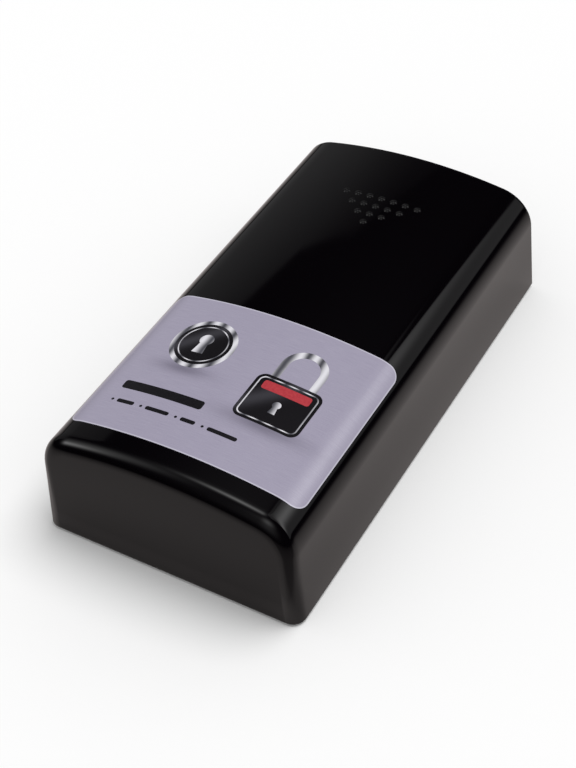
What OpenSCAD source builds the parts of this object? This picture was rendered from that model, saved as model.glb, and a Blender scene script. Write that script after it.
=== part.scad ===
// Magnetic key holder box: a crowned sliding cover that runs on a shallow key tray.
// The tray clings to steel by two riveted ferrite magnets, and the cover is pushed off it
// towards its closed end, the way the raised pips on its top point.
//
// Frame: origin at the bottom centre, on the surface that the magnets grip. +Z is up, and
// +Y runs along the box to the cover's open mouth. The cover slides off towards -Y.

/* [Cover] */
// Length of the cover along the box, at its foot
cover_l = 114; // [106:1:130]
// Width of the cover at its foot
cover_w = 61.6; // [58:0.2:70]
// Height of the cover, from its foot to the top of the crown
cover_h = 28; // [26:0.5:34]
// Wall thickness of the cover
wall_t = 2; // [1.6:0.1:2.4]
// Radius of the crown across the box
crown_r = 123; // [90:1:170]
// Radius where the crown turns into the side walls
corner_r = 9; // [7:0.1:10]
// Radius of the rounded rim round the closed end
rim_r = 3; // [2.6:0.1:4]
// Draft of the side walls, in degrees
side_draft = 3.2; // [1:0.1:4]
// Backward lean of the closed end wall, in degrees
end_draft = 4.3; // [1:0.1:5]

/* [Pips] */
// Pitch of the raised pips on the top
pip_pitch = 3.03; // [2.6:0.01:3.4]
// Diameter of a pip
pip_d = 1.7; // [1.4:0.1:2.2]
// Height that a pip stands proud
pip_h = 0.4; // [0.2:0.05:0.6]
// Rows of pips, each two shorter than the one before it
pip_rows = 4; // [2:1:5]
// Distance of the longest row from the mouth
pip_setback = 17.5; // [14:0.5:22]

/* [Label] */
// Width of the label, measured straight across
label_w = 55; // [44:0.5:56]
// Length of the label along the box
label_l = 42.4; // [30:0.2:50]
// Distance of the label from the closed end
label_setback = 9.1; // [8:0.1:14]
// Corner radius of the label
label_r = 3; // [1:0.5:6]
// Thickness of the label
label_t = 0.15; // [0.1:0.05:0.3]

/* [Tray] */
// Floor and wall thickness of the tray
tray_t = 1.8; // [1.6:0.1:2]
// Height of the tray's side walls above the surface that the box is on
tray_wall_h = 13; // [11:0.5:16]
// Height of the side walls where they meet the end plug
tray_cheek_h = 20; // [17:0.5:21]
// Thickness of the end plug that closes the mouth
plug_t = 2.4; // [1.8:0.1:3]
// Thickness of the runners along the tray
runner_t = 1.6; // [1.4:0.1:2]

/* [Magnets] */
// Length of a magnet block
magnet_l = 40; // [36:1:42]
// Width of a magnet block
magnet_w = 25; // [20:1:28]
// Thickness of a magnet block
magnet_t = 6; // [5:0.5:7]
// Distance of each magnet's centre from the middle of the box
magnet_y = 25; // [24:0.5:26]
// Thickness of the steel plate behind each magnet
plate_t = 1; // [0.8:0.1:1.2]

/* [Foam pad] */
// Thickness of the foam pad on the tray's floor
foam_t = 2; // [1:0.5:3]

/* [Hidden] */

// Number of facets on each rounded stretch of the cover's outline
crown_facets = 16;
corner_facets = 12;
rim_facets = 6;

slip = 0.3;         // gap between the cover and the tray
foot_gap = 0.6;     // the cover's foot clears the surface by this, so that it slides
face_gap = 0.4;     // the tray's underside clears the surface by this

near_y = -cover_l / 2;
mouth_y = cover_l / 2;
crown_top = cover_h;                  // heights in the outline are above the cover's foot
crown_c = [0, crown_top - crown_r];
over = 1;                             // how far a cutter runs past what it cuts
bite = 0.8;                           // how far a rib is sunk into the wall that carries it

// ---- The cover's outline: side wall, corner arc and crown, drawn in X and Z ----

// Half width at height z of the side wall, set in by inset
function wall_x(z, inset = 0) =
    cover_w / 2 - z * tan(side_draft) - inset / cos(side_draft);

// Centre of the corner arc: corner_r in from the wall, and touching the crown from inside
wall_n = [cos(side_draft), sin(side_draft)];
wall_dir = [-sin(side_draft), cos(side_draft)];
corner_from = [cover_w / 2, 0] - corner_r * wall_n - crown_c;
corner_along = -corner_from * wall_dir
    + sqrt(pow(corner_from * wall_dir, 2) - corner_from * corner_from
           + pow(crown_r - corner_r, 2));
corner_c = crown_c + corner_from + corner_along * wall_dir;
crown_from = atan2(corner_c.y - crown_c.y, corner_c.x);   // angle where the corner arc ends

function arc(centre, r, from, to, facets) =
    [for (i = [0:facets]) let (a = from + (to - from) * i / facets)
        centre + r * [cos(a), sin(a)]];

function mirrored(points) = [for (i = [len(points) - 1:-1:0]) [-points[i].x, points[i].y]];

// The arch from its right foot at height foot to the middle of the crown, set in by inset
function half_arch(inset, foot) = concat(
    [[wall_x(foot, inset), foot]],
    arc(corner_c, corner_r - inset, side_draft, crown_from, corner_facets),
    [for (i = [1:crown_facets]) let (a = crown_from + (90 - crown_from) * i / crown_facets)
        crown_c + (crown_r - inset) * [cos(a), sin(a)]]);

function arch(inset, foot = 0) = let (half = half_arch(inset, foot))
    concat(half, [for (i = [1:len(half) - 1]) mirrored(half)[i]]);

// Height of the crown or corner arc above the cover's foot at x
function crown_z(x) = abs(x) < crown_r * cos(crown_from)
    ? crown_c.y + sqrt(crown_r * crown_r - x * x)
    : corner_c.y + sqrt(corner_r * corner_r - pow(abs(x) - corner_c.x, 2));

// ---- Lofting the outline along the box ----

// One section at y. A leaning section is sheared back as it rises, like the end wall.
function section(inset, y, foot, leaning) = [for (p = arch(inset, foot))
    [p.x, y + (leaning ? p.y * tan(end_draft) : 0), p.y]];

// Skins the sections, which all have the same number of points, and caps both ends
module loft(sections) {
    n = len(sections[0]);
    last = len(sections) - 1;
    points = [for (s = sections) each s];
    sides = [for (k = [0:last - 1], i = [0:n - 1]) let (j = (i + 1) % n)
        each [[k * n + i, (k + 1) * n + j, (k + 1) * n + i],
              [k * n + i, k * n + j, (k + 1) * n + j]]];
    caps = [[for (i = [n - 1:-1:0]) i], [for (i = [0:n - 1]) last * n + i]];
    polyhedron(points, concat(sides, caps), convexity = 4);
}

// The cover's solid form set in by inset, with its rim rounded by r at the closed end
module cover_form(inset, r, foot, far_y, facets) {
    y0 = near_y + inset / cos(end_draft);
    rim = [for (k = [facets:-1:0]) let (a = 90 * k / facets)
        section(inset + r * (1 - cos(a)), y0 + r * (1 - sin(a)), foot, true)];
    loft(concat(rim, [section(inset, far_y, foot, false)]));
}

// Draws its children, given in X and Z above the cover's foot, from y0 to y1
module along(y0, y1) {
    translate([0, y1, 0]) rotate([90, 0, 0]) linear_extrude(y1 - y0) children();
}

module both_sides() {
    children();
    mirror([1, 0, 0]) children();
}

// ---- Cover ----

lip_w = 2.4;                          // how far the lip reaches in under the runner
lip_t = 1.4;
lip_x = wall_x(0, wall_t) - lip_w;    // inner edge of the lip
plug_y = mouth_y - plug_t;            // inner face of the end plug
guide_z = lip_t + runner_t + 0.4;     // underside of the guide ribs
guide_t = 1.2;
guide_w = 2;
guide_l = 14;
guide_places = [-40, -6, 28];         // where each guide rib starts

module lip() {
    along(near_y + wall_t - bite, plug_y - slip)
        polygon([[lip_x, 0], [wall_x(0, wall_t - bite), 0],
                 [wall_x(lip_t, wall_t - bite), lip_t], [lip_x, lip_t]]);
}

module guide_rib(y) {
    z0 = guide_z;
    z1 = guide_z + guide_t;
    x0 = wall_x(z0, wall_t) - guide_w;
    along(y, y + guide_l)
        polygon([[x0, z0], [wall_x(z0, wall_t - bite), z0],
                 [wall_x(z1, wall_t - bite), z1 + 0.4], [x0, z1]]);
}

// A pip is the top of a sphere of this radius, which is sunk in the crown
pip_r = (pow(pip_d / 2, 2) + pip_h * pip_h) / (2 * pip_h);

module pips() {
    for (row = [0:pip_rows - 1], i = [-(pip_rows - 1 - row):pip_rows - 1 - row]) {
        x = i * pip_pitch;
        y = mouth_y - pip_setback - row * pip_pitch;
        translate([x, y, crown_z(x) + pip_h - pip_r]) sphere(pip_r, $fn = 24);
    }
}

module cover() {
    color([0.03, 0.03, 0.035]) translate([0, 0, foot_gap]) {
        difference() {
            cover_form(0, rim_r, 0, mouth_y, rim_facets);
            cover_form(wall_t, rim_r - wall_t, -over, mouth_y + over, 2);
        }
        both_sides() {
            lip();
            for (y = guide_places) guide_rib(y);
        }
        pips();
    }
}

// ---- Label, a strip of the cover's own outline ----

module label() {
    outer = [for (p = arch(-label_t)) if (p.y > corner_c.y) p];
    inner = [for (p = arch(0)) if (p.y > corner_c.y) p];
    back = [for (i = [len(inner) - 1:-1:0]) inner[i]];
    mid_y = near_y + label_setback + label_l / 2;
    color([0.66, 0.64, 0.7]) translate([0, 0, foot_gap]) intersection() {
        along(mid_y - label_l / 2, mid_y + label_l / 2) polygon(concat(outer, back));
        translate([0, mid_y, 0]) linear_extrude(cover_h + over)
            rounded_rectangle(label_w, label_l, label_r);
    }
}

module rounded_rectangle(w, l, r) {
    square([w - 2 * r, l], center = true);
    square([w, l - 2 * r], center = true);
    for (x = [-1, 1], y = [-1, 1]) translate([x * (w / 2 - r), y * (l / 2 - r)])
        circle(r, $fn = 48);
}

// ---- Tray ----

tray_x = lip_x - slip;                        // outer face of the tray's side walls
tray_in_x = tray_x - tray_t;                  // inner face
tray_near_y = near_y + wall_t + 1.6;          // outer face of the front wall
tray_corner_r = 3;
runner_near_y = near_y + wall_t + 0.5;        // the runners stop short of the cover's end wall
runner_z = foot_gap + lip_t + 0.2;            // underside of the runners
runner_x = wall_x(runner_z + runner_t - foot_gap, wall_t) - slip;
runner_corner = 1.8;                          // chamfer that clears the cover's corner
floor_z = face_gap + tray_t;                  // top of the tray's floor
pocket_fit = 0.2;                             // room round a magnet in its pocket
pocket_wall = 1.5;
pocket_roof = 1.4;
pocket_top = magnet_t + plate_t;
boss_top = pocket_top + pocket_roof;
rivet_d = 4.2;
rivet_hole_d = 4.4;
finger_l = 14;                                // springy finger in each side wall
finger_slot = 1;
finger_y = 42;                                // far end of the slot round it
finger_foot = runner_z + runner_t + 0.8;
finger_top = tray_wall_h - 2.6;
pad_r = 4;
pad_z = finger_foot + finger_slot + 0.6;      // the pad's foot, above the guide ribs
pad_h = 2.6;
pad_x = wall_x(pad_z + pad_h - foot_gap, wall_t) - 0.2;   // how far out the pad reaches

// Plan of the tray set in by inset, with its two corners at the closed end rounded
module tray_plan(inset) {
    r = tray_corner_r - inset;
    y0 = tray_near_y + inset;
    y1 = plug_y + plug_t / 2;
    translate([inset - tray_x, y0 + r]) square([2 * (tray_x - inset), y1 - y0 - r]);
    translate([inset - tray_x + r, y0]) square([2 * (tray_x - inset - r), r + bite]);
    for (x = [-1, 1]) translate([x * (tray_x - inset - r), y0 + r]) circle(r, $fn = 48);
}

// Side view of a cheek, which sweeps a side wall up to the end plug
module cheek_outline() {
    sweep_r = tray_cheek_h - tray_wall_h;
    difference() {
        translate([plug_y - sweep_r, tray_wall_h - bite])
            square([sweep_r + plug_t / 2, sweep_r + bite]);
        translate([plug_y - sweep_r, tray_cheek_h]) circle(sweep_r, $fn = 64);
    }
}

// Draws its children, given in Y and Z, from x0 to x1
module across(x0, x1) {
    translate([x0, 0, 0]) rotate([90, 0, 90]) linear_extrude(x1 - x0) children();
}

module boss(y) {
    translate([0, y, face_gap]) linear_extrude(boss_top - face_gap)
        rounded_rectangle(magnet_w + 2 * (pocket_fit + pocket_wall),
                          magnet_l + 2 * (pocket_fit + pocket_wall), 2.2);
}

module pocket(y) {
    translate([-magnet_w / 2 - pocket_fit, y - magnet_l / 2 - pocket_fit, face_gap - over])
        cube([magnet_w + 2 * pocket_fit, magnet_l + 2 * pocket_fit,
              pocket_top - face_gap + over]);
    translate([0, y, 0]) cylinder(d = rivet_hole_d, h = boss_top + over, $fn = 48);
}

plug_rib = 4;                                 // how far the plug's ribs reach along the floor

module end_plug() {
    translate([0, 0, foot_gap]) along(plug_y, mouth_y)
        polygon(arch(wall_t + slip, face_gap - foot_gap));
    // Ribs that stiffen the plug against the floor
    for (x = [-16, 0, 16]) translate([x - 0.7, 0, 0]) across(0, 1.4)
        polygon([[plug_y - plug_rib, floor_z - bite], [plug_y + bite, floor_z - bite],
                 [plug_y + bite, tray_wall_h], [plug_y - 1.2, tray_wall_h]]);
}

// A flange along each side of the tray, held between the cover's lip and its guide ribs
module runner() {
    translate([0, 0, runner_z]) linear_extrude(runner_t)
        polygon([[tray_x - bite, runner_near_y], [runner_x - runner_corner, runner_near_y],
                 [runner_x, runner_near_y + runner_corner], [runner_x, plug_y + plug_t / 2],
                 [tray_x - bite, plug_y + plug_t / 2]]);
}

// Slots in each side wall free a springy finger, whose pad rubs on the cover's inside
module finger_slots() {
    across(tray_in_x - over, tray_x + over) {
        translate([finger_y - finger_l, finger_top - finger_slot])
            square([finger_l, finger_slot]);
        translate([finger_y - finger_l, finger_foot]) square([finger_l, finger_slot]);
        translate([finger_y - finger_slot, finger_foot])
            square([finger_slot, finger_top - finger_foot]);
    }
}

module finger_pad() {
    half_l = sqrt(pad_r * pad_r - pow(pad_r - pad_x + tray_x - bite, 2));
    translate([0, finger_y - finger_slot - half_l - 0.4, pad_z]) linear_extrude(pad_h)
        intersection() {
            translate([pad_x - pad_r, 0]) circle(pad_r, $fn = 64);
            translate([tray_x - bite, -pad_r]) square([pad_r, 2 * pad_r]);
        }
}

// Floor and low walls
module tray_pan() {
    translate([0, 0, face_gap]) linear_extrude(tray_t) tray_plan(0);
    translate([0, 0, floor_z - over]) linear_extrude(tray_wall_h - floor_z + over)
        difference() {
            tray_plan(0);
            difference() {
                tray_plan(tray_t);
                translate([-tray_x, plug_y]) square([2 * tray_x, plug_t]);
            }
        }
}

module tray() {
    color([0.05, 0.05, 0.055]) {
        difference() {
            union() {
                tray_pan();
                both_sides() {
                    across(tray_in_x, tray_x) cheek_outline();
                    runner();
                }
                // The runners join in front of the front wall
                translate([-tray_x, runner_near_y, runner_z])
                    cube([2 * tray_x, tray_near_y - runner_near_y + bite, runner_t]);
                for (y = [-magnet_y, magnet_y]) boss(y);
                end_plug();
            }
            for (y = [-magnet_y, magnet_y]) pocket(y);
            both_sides() finger_slots();
        }
        both_sides() finger_pad();
    }
}

// ---- Foam pad, die cut to lie round the magnet housings ----

module foam_pad() {
    pad_w = 2 * (tray_in_x - slip);
    y0 = tray_near_y + tray_t + slip;
    y1 = plug_y - plug_rib - slip;
    window_w = magnet_w + 2 * (pocket_fit + pocket_wall + slip);
    window_l = magnet_l + 2 * (pocket_fit + pocket_wall + slip);
    color([0.16, 0.16, 0.17]) translate([0, 0, floor_z]) linear_extrude(foam_t)
        difference() {
            translate([0, (y0 + y1) / 2]) rounded_rectangle(pad_w, y1 - y0, 2);
            for (y = [-magnet_y, magnet_y]) translate([0, y])
                rounded_rectangle(window_w, window_l, 2.5);
        }
}

// ---- Magnets, backing plates and rivets ----

head_d = 8;
head_t = 0.9;
counterbore_d = 9;
counterbore_h = 2.4;
clinch_d = 7;
clinch_t = 0.9;
tube_d = 2.8;

// Outline of a magnet block of this width, with its two lower edges chamfered
module block_outline(w) {
    chamfer = 0.5;
    polygon([[chamfer - w / 2, 0], [w / 2 - chamfer, 0], [w / 2, chamfer], [w / 2, magnet_t],
             [-w / 2, magnet_t], [-w / 2, chamfer]]);
}

module magnet(y) {
    color([0.19, 0.19, 0.2]) translate([0, y, 0]) difference() {
        intersection() {
            along(-magnet_l / 2, magnet_l / 2) block_outline(magnet_w);
            across(-magnet_w / 2, magnet_w / 2) block_outline(magnet_l);
        }
        translate([0, 0, -over]) cylinder(d = counterbore_d, h = counterbore_h + over, $fn = 64);
        cylinder(d = rivet_hole_d, h = magnet_t + over, $fn = 48);
    }
}

module magnet_near() { magnet(-magnet_y); }
module magnet_far() { magnet(magnet_y); }

module backing_plate(y) {
    color([0.72, 0.74, 0.77]) translate([0, y, magnet_t]) linear_extrude(plate_t)
        difference() {
            rounded_rectangle(magnet_w, magnet_l, 1.5);
            circle(d = rivet_hole_d, $fn = 48);
        }
}

module backing_plate_near() { backing_plate(-magnet_y); }
module backing_plate_far() { backing_plate(magnet_y); }

// A tubular rivet: head in the magnet's counterbore, end rolled over on the housing
module rivet(y) {
    r = rivet_d / 2;
    color([0.78, 0.72, 0.5]) translate([0, y, 0]) rotate_extrude($fn = 64)
        polygon([[0, counterbore_h - head_t], [head_d / 2 - 0.4, counterbore_h - head_t],
                 [head_d / 2, counterbore_h - head_t + 0.4], [head_d / 2, counterbore_h],
                 [r, counterbore_h], [r, boss_top],
                 [clinch_d / 2, boss_top], [clinch_d / 2 - 0.2, boss_top + clinch_t * 0.6],
                 [clinch_d / 2 - 0.9, boss_top + clinch_t],
                 [tube_d / 2 + 0.5, boss_top + clinch_t], [tube_d / 2, boss_top],
                 [tube_d / 2, counterbore_h + 1], [0, counterbore_h + 1]]);
}

module rivet_near() { rivet(-magnet_y); }
module rivet_far() { rivet(magnet_y); }

cover();
label();
tray();
foam_pad();
magnet_near();
magnet_far();
backing_plate_near();
backing_plate_far();
rivet_near();
rivet_far();
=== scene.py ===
# %% [markdown]
# # A magnetic key holder box
# This lesson dresses a small black key box. A crowned cover slides over a shallow key tray,
# and two block magnets under the tray hold the box to steel. The CAD model gives the fixed
# frame: every size, place and joint. Blender adds what the eye looks for: smooth reflections,
# rounded edges, the printed label and the finish of each material.

# %% Load the CAD frame
import math

import bmesh
import bpy
from mathutils import Matrix, Vector


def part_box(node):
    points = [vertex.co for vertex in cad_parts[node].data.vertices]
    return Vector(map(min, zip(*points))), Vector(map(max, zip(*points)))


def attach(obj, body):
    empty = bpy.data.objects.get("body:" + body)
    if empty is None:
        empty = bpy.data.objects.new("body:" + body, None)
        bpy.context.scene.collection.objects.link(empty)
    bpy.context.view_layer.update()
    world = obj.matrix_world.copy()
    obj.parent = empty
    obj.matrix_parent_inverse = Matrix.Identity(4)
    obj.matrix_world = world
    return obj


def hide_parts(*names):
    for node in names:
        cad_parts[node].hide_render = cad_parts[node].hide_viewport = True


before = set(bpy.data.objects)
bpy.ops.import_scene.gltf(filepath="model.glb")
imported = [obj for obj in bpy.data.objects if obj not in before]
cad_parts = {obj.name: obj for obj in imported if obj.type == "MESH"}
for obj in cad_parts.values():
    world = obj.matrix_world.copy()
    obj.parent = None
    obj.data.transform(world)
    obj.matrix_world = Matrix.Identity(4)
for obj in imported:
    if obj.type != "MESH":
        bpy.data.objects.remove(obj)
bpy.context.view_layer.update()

MM = 0.001


def add_object(name, data):
    """Puts a camera, a lamp or a mesh into the scene."""
    added = bpy.data.objects.new(name, data)
    bpy.context.scene.collection.objects.link(added)
    return added


# %% [markdown]
# ## The camera
# The camera was solved from the photograph's outline, so it is given as a place and three
# directions: its own right, up and back. It could be placed by hand and aimed with a tracking
# constraint, but a solved view can't be hit that way. Blender's camera looks along its own
# -Z, so the three directions are the columns of its matrix.

# %% Place the camera
TURN = math.radians(34.022)
RISE = math.radians(44.2747)
ROLL = math.radians(-5.9291)
CAMERA_AT = Vector((131.642, -201.479, 239.349)) * MM
FOCAL_PIXELS = 1497.3647
LONG_SIDE_PIXELS = 768
SENSOR_MM = 36
CLIP_START = 0.01

back = Vector((math.sin(TURN) * math.cos(RISE), -math.cos(TURN) * math.cos(RISE),
               math.sin(RISE)))
level = (-back).cross(Vector((0, 0, 1))).normalized()
upright = level.cross(-back)
right = level * math.cos(ROLL) + upright * math.sin(ROLL)
up = upright * math.cos(ROLL) - level * math.sin(ROLL)

camera_data = bpy.data.cameras.new("camera")
camera_data.sensor_fit = "AUTO"
camera_data.sensor_width = SENSOR_MM
camera_data.lens = FOCAL_PIXELS * SENSOR_MM / LONG_SIDE_PIXELS
camera_data.clip_start = CLIP_START
camera = add_object("camera", camera_data)
camera_axes = Matrix((right, up, back)).transposed()
camera.matrix_world = Matrix.Translation(CAMERA_AT) @ camera_axes.to_4x4()
bpy.context.scene.camera = camera
print("lens in mm:", round(camera_data.lens, 2))

# %% [markdown]
# ## Helpers for node trees
# A node tree can be drawn by hand in the shader editor, or built in code, which repeats
# exactly. `add_node` adds one node: an input that is a socket is linked, and any other is set
# as a value. The rest are single sums made with it, so that a brightness or a colour reads
# like a formula.

# %% Add nodes and do sums with them
def add_node(tree, kind, inputs=None, **settings):
    node = tree.nodes.new(kind)
    for key, value in settings.items():
        setattr(node, key, value)
    for key, value in (inputs or {}).items():
        if isinstance(value, bpy.types.NodeSocket):
            tree.links.new(value, node.inputs[key])
        else:
            node.inputs[key].default_value = value
    return node


def maths(tree, operation, a, b=0.0):
    return add_node(tree, "ShaderNodeMath", {0: a, 1: b}, operation=operation).outputs[0]


def times(tree, first, *others):
    product = first
    for factor in others:
        product = maths(tree, "MULTIPLY", product, factor)
    return product


def plus(tree, a, b):
    return maths(tree, "ADD", a, b)


def minus(tree, a, b):
    return maths(tree, "SUBTRACT", a, b)


def remap(tree, value, low, high, from_low=0.0, from_high=1.0, kind="LINEAR"):
    """A ramp from low to high, level outside from_low and from_high."""
    return add_node(tree, "ShaderNodeMapRange", {
        "Value": value, "From Min": from_low, "From Max": from_high,
        "To Min": low, "To Max": high}, interpolation_type=kind).outputs["Result"]


# %% [markdown]
# ## The directions of the room
# A gloss black object is drawn almost wholly by what it reflects, so the room matters more
# than the paint. A room could be built from real panels and lamps, but each would light the
# box as well as show in it. Here the world's nodes paint the room instead, from the direction
# in which a ray leaves the box: its bearing, clockwise from +Y, and its elevation.

# %% Measure bearing and elevation
world = bpy.data.worlds.new("studio")
world.use_nodes = True
bpy.context.scene.world = world
room = world.node_tree
room.nodes.clear()

ray_direction = add_node(room, "ShaderNodeTexCoord").outputs["Generated"]
split = add_node(room, "ShaderNodeSeparateXYZ", {"Vector": ray_direction})
bearing = maths(room, "DEGREES", maths(room, "ARCTAN2", split.outputs["X"], split.outputs["Y"]))
elevation = maths(room, "DEGREES", maths(room, "ARCSINE", split.outputs["Z"]))
print("nodes that measure a direction:", len(room.nodes))

# %% [markdown]
# ## The backdrop
# The top of the box mirrors a grey backdrop behind it. In the photograph that grey falls off
# upwards and to both sides, and its top edge climbs a few degrees on the right. Each of those
# is one ramp. The edges fade over a degree or so, as a cloth's do when it is out of focus.

# %% Shade the backdrop
# Each ramp: its value at the start and at the end, then both places in degrees
BACKDROP_TOP_CLIMBS = (0.0, 4.1, -37.5, -30)
BACKDROP_UPWARDS = (0.225, 0.045, 24, 38.5)
BACKDROP_LEFT = (0.6, 1.0, -62, -50)
BACKDROP_RIGHT = (1.0, 0.55, -36, -26)

backdrop_elevation = minus(room, elevation, remap(room, bearing, *BACKDROP_TOP_CLIMBS))
backdrop_sides = maths(room, "MINIMUM", remap(room, bearing, *BACKDROP_LEFT),
                       remap(room, bearing, *BACKDROP_RIGHT))
backdrop_light = times(room, remap(room, elevation, *BACKDROP_UPWARDS), backdrop_sides)
print("backdrop's light at its foot and top:", BACKDROP_UPWARDS[:2])

# %% [markdown]
# ## The long lamp
# A long soft lamp on the right draws the bright line down the rounded long edge. It hangs at
# a slant, so its sides lean, and its brightest line crosses it as a bell curve, which is soft
# on both sides.

# %% Shade the lamp
LAMP_SIDES_LEAN = 0.43
LAMP_LINE_LEANS = 0.3
LAMP_LINE_ELEVATION = 55.5
LAMP_LINE_SPREAD = 9.0
LAMP_DIM = 0.3
LAMP_TO_THE_RIGHT = (0.35, 1.55, 25, 45)


def bell(tree, value, middle, radius):
    """1 at the middle, falling away on both sides as a bell curve."""
    share = maths(tree, "DIVIDE", minus(tree, value, middle), radius)
    return maths(tree, "EXPONENT", times(tree, share, share, -1.0))


lamp_bearing = plus(room, bearing, times(room, elevation, LAMP_SIDES_LEAN))
lamp_elevation = plus(room, elevation, times(room, bearing, LAMP_LINE_LEANS))
lamp_line = times(room, bell(room, lamp_elevation, LAMP_LINE_ELEVATION, LAMP_LINE_SPREAD),
                  remap(room, bearing, *LAMP_TO_THE_RIGHT))
lamp_light = plus(room, LAMP_DIM, lamp_line)
print("lamp's brightest line, in degrees up:", LAMP_LINE_ELEVATION)

# %% [markdown]
# ## Hanging the panels
# The backdrop, the lamp and a faint second lamp over it are each cut out as a rectangle in
# bearing and elevation. Where two overlap, the brighter one counts, because a sum would leave
# a bright seam.

# %% Hang the panels
ROOM_DARK = 0.006
SECOND_LAMP = 0.2

# Each panel: what it is measured along, from, to and how soft, twice, then its light
PANELS = [
    ((bearing, -85, 10, 1.5), (backdrop_elevation, -30, 34.4, 0.9), backdrop_light),
    ((lamp_bearing, 46, 86, 2.5), (elevation, 9.5, 68, 3), lamp_light),
    ((bearing, 14, 60, 6), (elevation, 50, 64, 4), SECOND_LAMP),
]


def band(tree, value, low, high, soft):
    """1 between low and high, fading to 0 over soft outside them."""
    fade_in = remap(tree, value, 0.0, 1.0, low - soft, low, "SMOOTHSTEP")
    fade_out = remap(tree, value, 1.0, 0.0, high, high + soft, "SMOOTHSTEP")
    return times(tree, fade_in, fade_out)


reflected = ROOM_DARK
for sideways, upwards, light in PANELS:
    panel = times(room, band(room, *sideways), band(room, *upwards), light)
    reflected = maths(room, "MAXIMUM", reflected, panel)
print("panels:", len(PANELS))

# %% [markdown]
# ## Round lamps
# The closed end's rounded rim and corners turn through every direction, so they pick up lamps
# from all round the room. Each is a round glow. The angle between the ray and the lamp's
# middle comes from the dot product of their directions, and a bell curve fades it out.

# %% Hang the round lamps
# Each round lamp: bearing, elevation and radius in degrees, then its brightness
ROUND_LAMPS = [
    (-115, 33, 8.6, 2.4),
    (-108, 45, 16, 0.75),
    (-38, 75, 9, 2.1),
    (-38, 73, 16, 0.35),
    (165, 38, 22, 0.3),
    (150, 62, 14, 1.0),
]


def direction(turn, rise):
    """The unit vector towards this bearing and elevation, in degrees."""
    turn, rise = math.radians(turn), math.radians(rise)
    return Vector((math.sin(turn) * math.cos(rise), math.cos(turn) * math.cos(rise),
                   math.sin(rise)))


for lamp_turn, lamp_rise, radius, brightness in ROUND_LAMPS:
    aligned = add_node(room, "ShaderNodeVectorMath", {
        0: ray_direction, 1: direction(lamp_turn, lamp_rise)}, operation="DOT_PRODUCT")
    away = maths(room, "DEGREES", maths(room, "ARCCOSINE", aligned.outputs["Value"]))
    reflected = plus(room, reflected, times(room, bell(room, away, 0.0, radius), brightness))
print("round lamps:", len(ROUND_LAMPS))

# %% [markdown]
# ## What each ray sees
# A shader can ask what kind of ray has reached it. Camera rays see a plain white background
# of strength 1, reflections see the painted room, and all other rays see an even pale light.
# So the lighting stays soft and simple, while the gloss still has something to show.

# %% Join the background and the room
WHITE = (1.0, 1.0, 1.0)
AMBIENT = 0.55
BACKGROUND = 1.0

ray = add_node(room, "ShaderNodeLightPath")
strength = AMBIENT
for kind_of_ray, look in (("Is Glossy Ray", reflected), ("Is Camera Ray", BACKGROUND)):
    choice = add_node(room, "ShaderNodeMix", {0: ray.outputs[kind_of_ray], 2: strength, 3: look})
    strength = choice.outputs[0]
sky = add_node(room, "ShaderNodeBackground", {"Color": (*WHITE, 1), "Strength": strength})
add_node(room, "ShaderNodeOutputWorld", {"Surface": sky.outputs["Background"]})
world.cycles.sampling_method = "NONE"
bpy.context.scene.view_settings.view_transform = "Standard"
print("nodes in the room:", len(room.nodes))

# %% [markdown]
# ## The soft high lamp
# One wide sun throws the soft shadow under the box. A sun was chosen over an area lamp
# because its light is equally strong everywhere, so a slid cover stays as bright. Reflections
# show the painted lamps instead.

# %% Hang the soft high lamp
SUN_STRENGTH = 1.52
SUN_SPREAD = math.radians(38)
SUN_AT = (40, 68)

sun_data = bpy.data.lights.new("high_soft_lamp", "SUN")
sun_data.energy = SUN_STRENGTH
sun_data.angle = SUN_SPREAD
sun = add_object("high_soft_lamp", sun_data)
sun_from = direction(*SUN_AT)
sun.matrix_world = sun_from.to_track_quat("Z", "Y").to_matrix().to_4x4()
sun.visible_glossy = False
level_light = AMBIENT + SUN_STRENGTH * sun_from.z / math.pi
print("light on a level surface:", round(level_light, 2))

# %% [markdown]
# ## The table
# The table is a real surface under the box, so it catches the soft shadow. It lies a hair
# below the magnets' faces, because two surfaces in one plane fight over which is in front.

# %% Lay the table
TABLE_HALF = 4.0
TABLE_GAP = 0.02 * MM

bm = bmesh.new()
bmesh.ops.create_grid(bm, x_segments=1, y_segments=1, size=TABLE_HALF,
                      matrix=Matrix.Translation((0, 0, -TABLE_GAP)))
table_mesh = bpy.data.meshes.new("table")
bm.to_mesh(table_mesh)
bm.free()
table = add_object("table", table_mesh)
print("table:", 2 * TABLE_HALF, "m square")

# %% [markdown]
# ## The table's painted light in reflections
# The camera sees the table white, but the box's walls reflect it as a grey that fades with
# distance, as the photograph's walls show. That grey is painted light: a pool of light painted
# on the table as a formula of the place on it, in millimetres. It fades out from the box, and
# ramps lift or lower it beside the box and before its closed end, as painted light and shade.
# Object coordinates hold still when the camera moves.

# %% Shade the table
TABLE_PALE = (0.9, 0.9, 0.9)
TABLE_LIGHT_POOL = 0.6
TABLE_FAR_GREY = 0.02
FADE_MM = 125
FADE_GAIN = 1.15
TABLE_WARMTH = (1.0, 0.92, 0.9)

# Each ramp: its factor at the start and at the end, then both places in mm
OUT_FROM_SIDE = (0.74, 1.45, 31, 41)
BACK_FROM_MIDDLE = (1.0, 1.25, 0, 60)
BACK_FROM_END = (0.4, 1.0, -64, -48)
CLOSE_BEFORE_END = (2.4, 1.0, -57, -62)
FAR_BEFORE_END = (1.08, 0.91, -60, -72)
RIGHT_BEFORE_END = (1.0, 0.45, 26, 33)
IS_BEFORE_END = (0.0, 1.0, -54, -62)


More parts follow.
